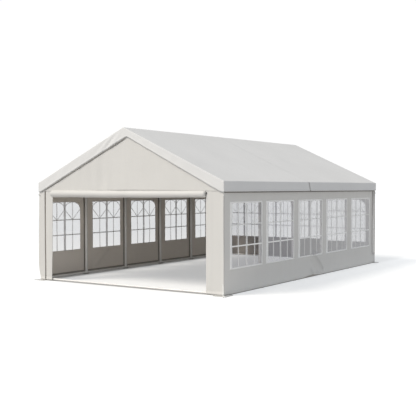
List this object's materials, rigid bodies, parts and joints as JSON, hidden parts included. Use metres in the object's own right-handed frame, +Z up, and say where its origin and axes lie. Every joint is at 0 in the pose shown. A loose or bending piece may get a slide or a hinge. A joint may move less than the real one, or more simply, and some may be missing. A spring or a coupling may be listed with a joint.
{
  "type": "event tent",
  "caption": "Gable-roofed event tent: steel tube frame, cloth roof and walls, arched clear windows and a front door rolled up over a wide doorway.",
  "frame": {"origin": "on the ground under the middle of the tent", "axes": "+Z up, X across the tent, +Y along it from the open front gable towards the closed rear gable"},
  "size_m": [5.2134, 8.2134, 3.4],
  "materials": {
    "frame_steel": "satin",
    "roof_cloth": "coated, matt",
    "wall_cloth": "coated, matt",
    "window_film": "clear soft film with printed bars"
  },
  "bodies": {
    "root": {"base_rail_front": "frame_steel", "base_rail_left": "frame_steel", "base_rail_rear": "frame_steel", "base_rail_right": "frame_steel", "corner_plate_front_left": "frame_steel", "corner_plate_front_right": "frame_steel", "corner_plate_rear_left": "frame_steel", "corner_plate_rear_right": "frame_steel", "door_roll": "wall_cloth", "eaves_rail_left": "frame_steel", "eaves_rail_right": "frame_steel", "front_flap_left": "wall_cloth", "front_gable": "wall_cloth", "front_strip_left": "wall_cloth", "front_strip_right": "wall_cloth", "post_left_1": "frame_steel", "post_left_2": "frame_steel", "post_left_3": "frame_steel", "post_left_4": "frame_steel", "post_left_5": "frame_steel", "post_left_6": "frame_steel", "post_right_1": "frame_steel", "post_right_2": "frame_steel", "post_right_3": "frame_steel", "post_right_4": "frame_steel", "post_right_5": "frame_steel", "post_right_6": "frame_steel", "rafter_left_1": "frame_steel", "rafter_left_2": "frame_steel", "rafter_left_3": "frame_steel", "rafter_left_4": "frame_steel", "rafter_left_5": "frame_steel", "rafter_left_6": "frame_steel", "rafter_right_1": "frame_steel", "rafter_right_2": "frame_steel", "rafter_right_3": "frame_steel", "rafter_right_4": "frame_steel", "rafter_right_5": "frame_steel", "rafter_right_6": "frame_steel", "ridge_rail": "frame_steel", "roof_cover_front": "roof_cloth", "roof_cover_rear": "roof_cloth", "wall_left": "wall_cloth", "wall_rear": "wall_cloth", "wall_right": "wall_cloth", "window_left_1": "window_film", "window_left_2": "window_film", "window_left_3": "window_film", "window_left_4": "window_film", "window_left_5": "window_film", "window_rear_1": "window_film", "window_rear_2": "window_film", "window_rear_3": "window_film", "window_rear_4": "window_film", "window_right_1": "window_film", "window_right_2": "window_film", "window_right_3": "window_film", "window_right_4": "window_film", "window_right_5": "window_film"}
  },
  "joints": []
}
